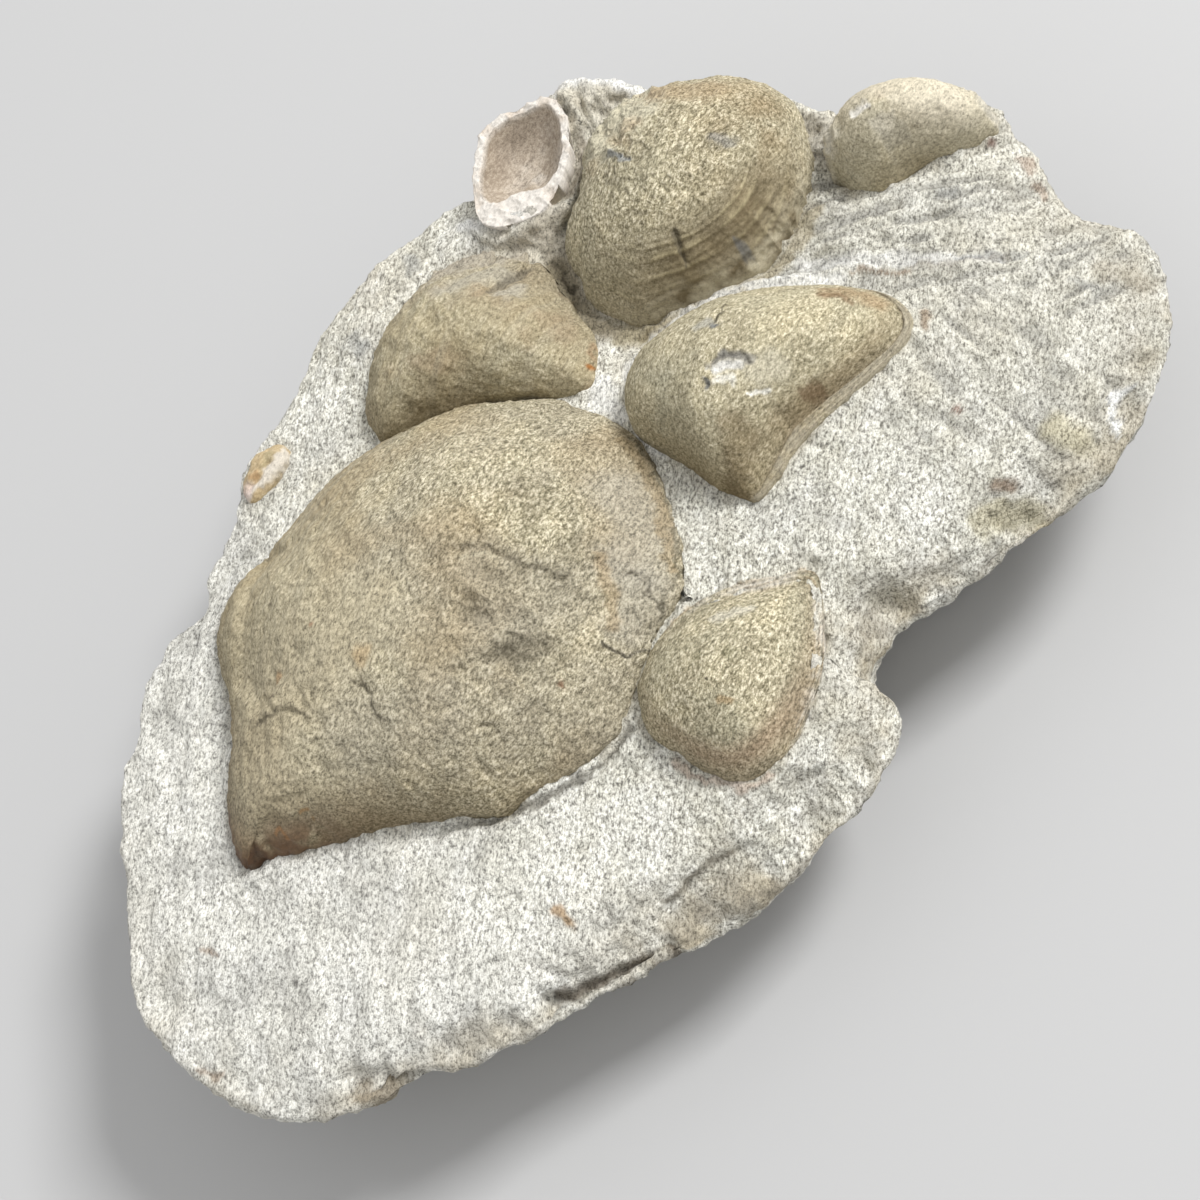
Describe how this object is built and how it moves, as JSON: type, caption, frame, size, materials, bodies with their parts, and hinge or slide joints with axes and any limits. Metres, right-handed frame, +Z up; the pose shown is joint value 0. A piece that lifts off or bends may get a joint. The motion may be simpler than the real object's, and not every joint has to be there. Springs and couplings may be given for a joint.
{
  "type": "fossil shell",
  "caption": "Loose slab of pale sandy rock with domed fossil clam shells standing out of its top, one of them broken open, lying flat on its underside.",
  "frame": {"origin": "on the surface that the slab lies on, under the middle of the slab's box", "axes": "+X along the slab's length, towards the end with the shell on the rim; +Y across it, towards the side with the hollow shell; +Z up, the way the shells face"},
  "size_m": [0.0941, 0.0653, 0.0255],
  "materials": {
    "rock": "matte, sandy",
    "shell": "matte, finely pitted",
    "shell_inside": "matte, smooth",
    "shell_fragment": "matte"
  },
  "bodies": {
    "root": {"matrix": "rock", "large_shell": "shell", "upper_left_shell": "shell", "ribbed_shell": "shell", "right_shell": "shell", "small_shell": "shell", "rim_shell": "shell", "hollow_shell": "shell_inside", "edge_fragment": "shell_fragment"}
  },
  "joints": []
}
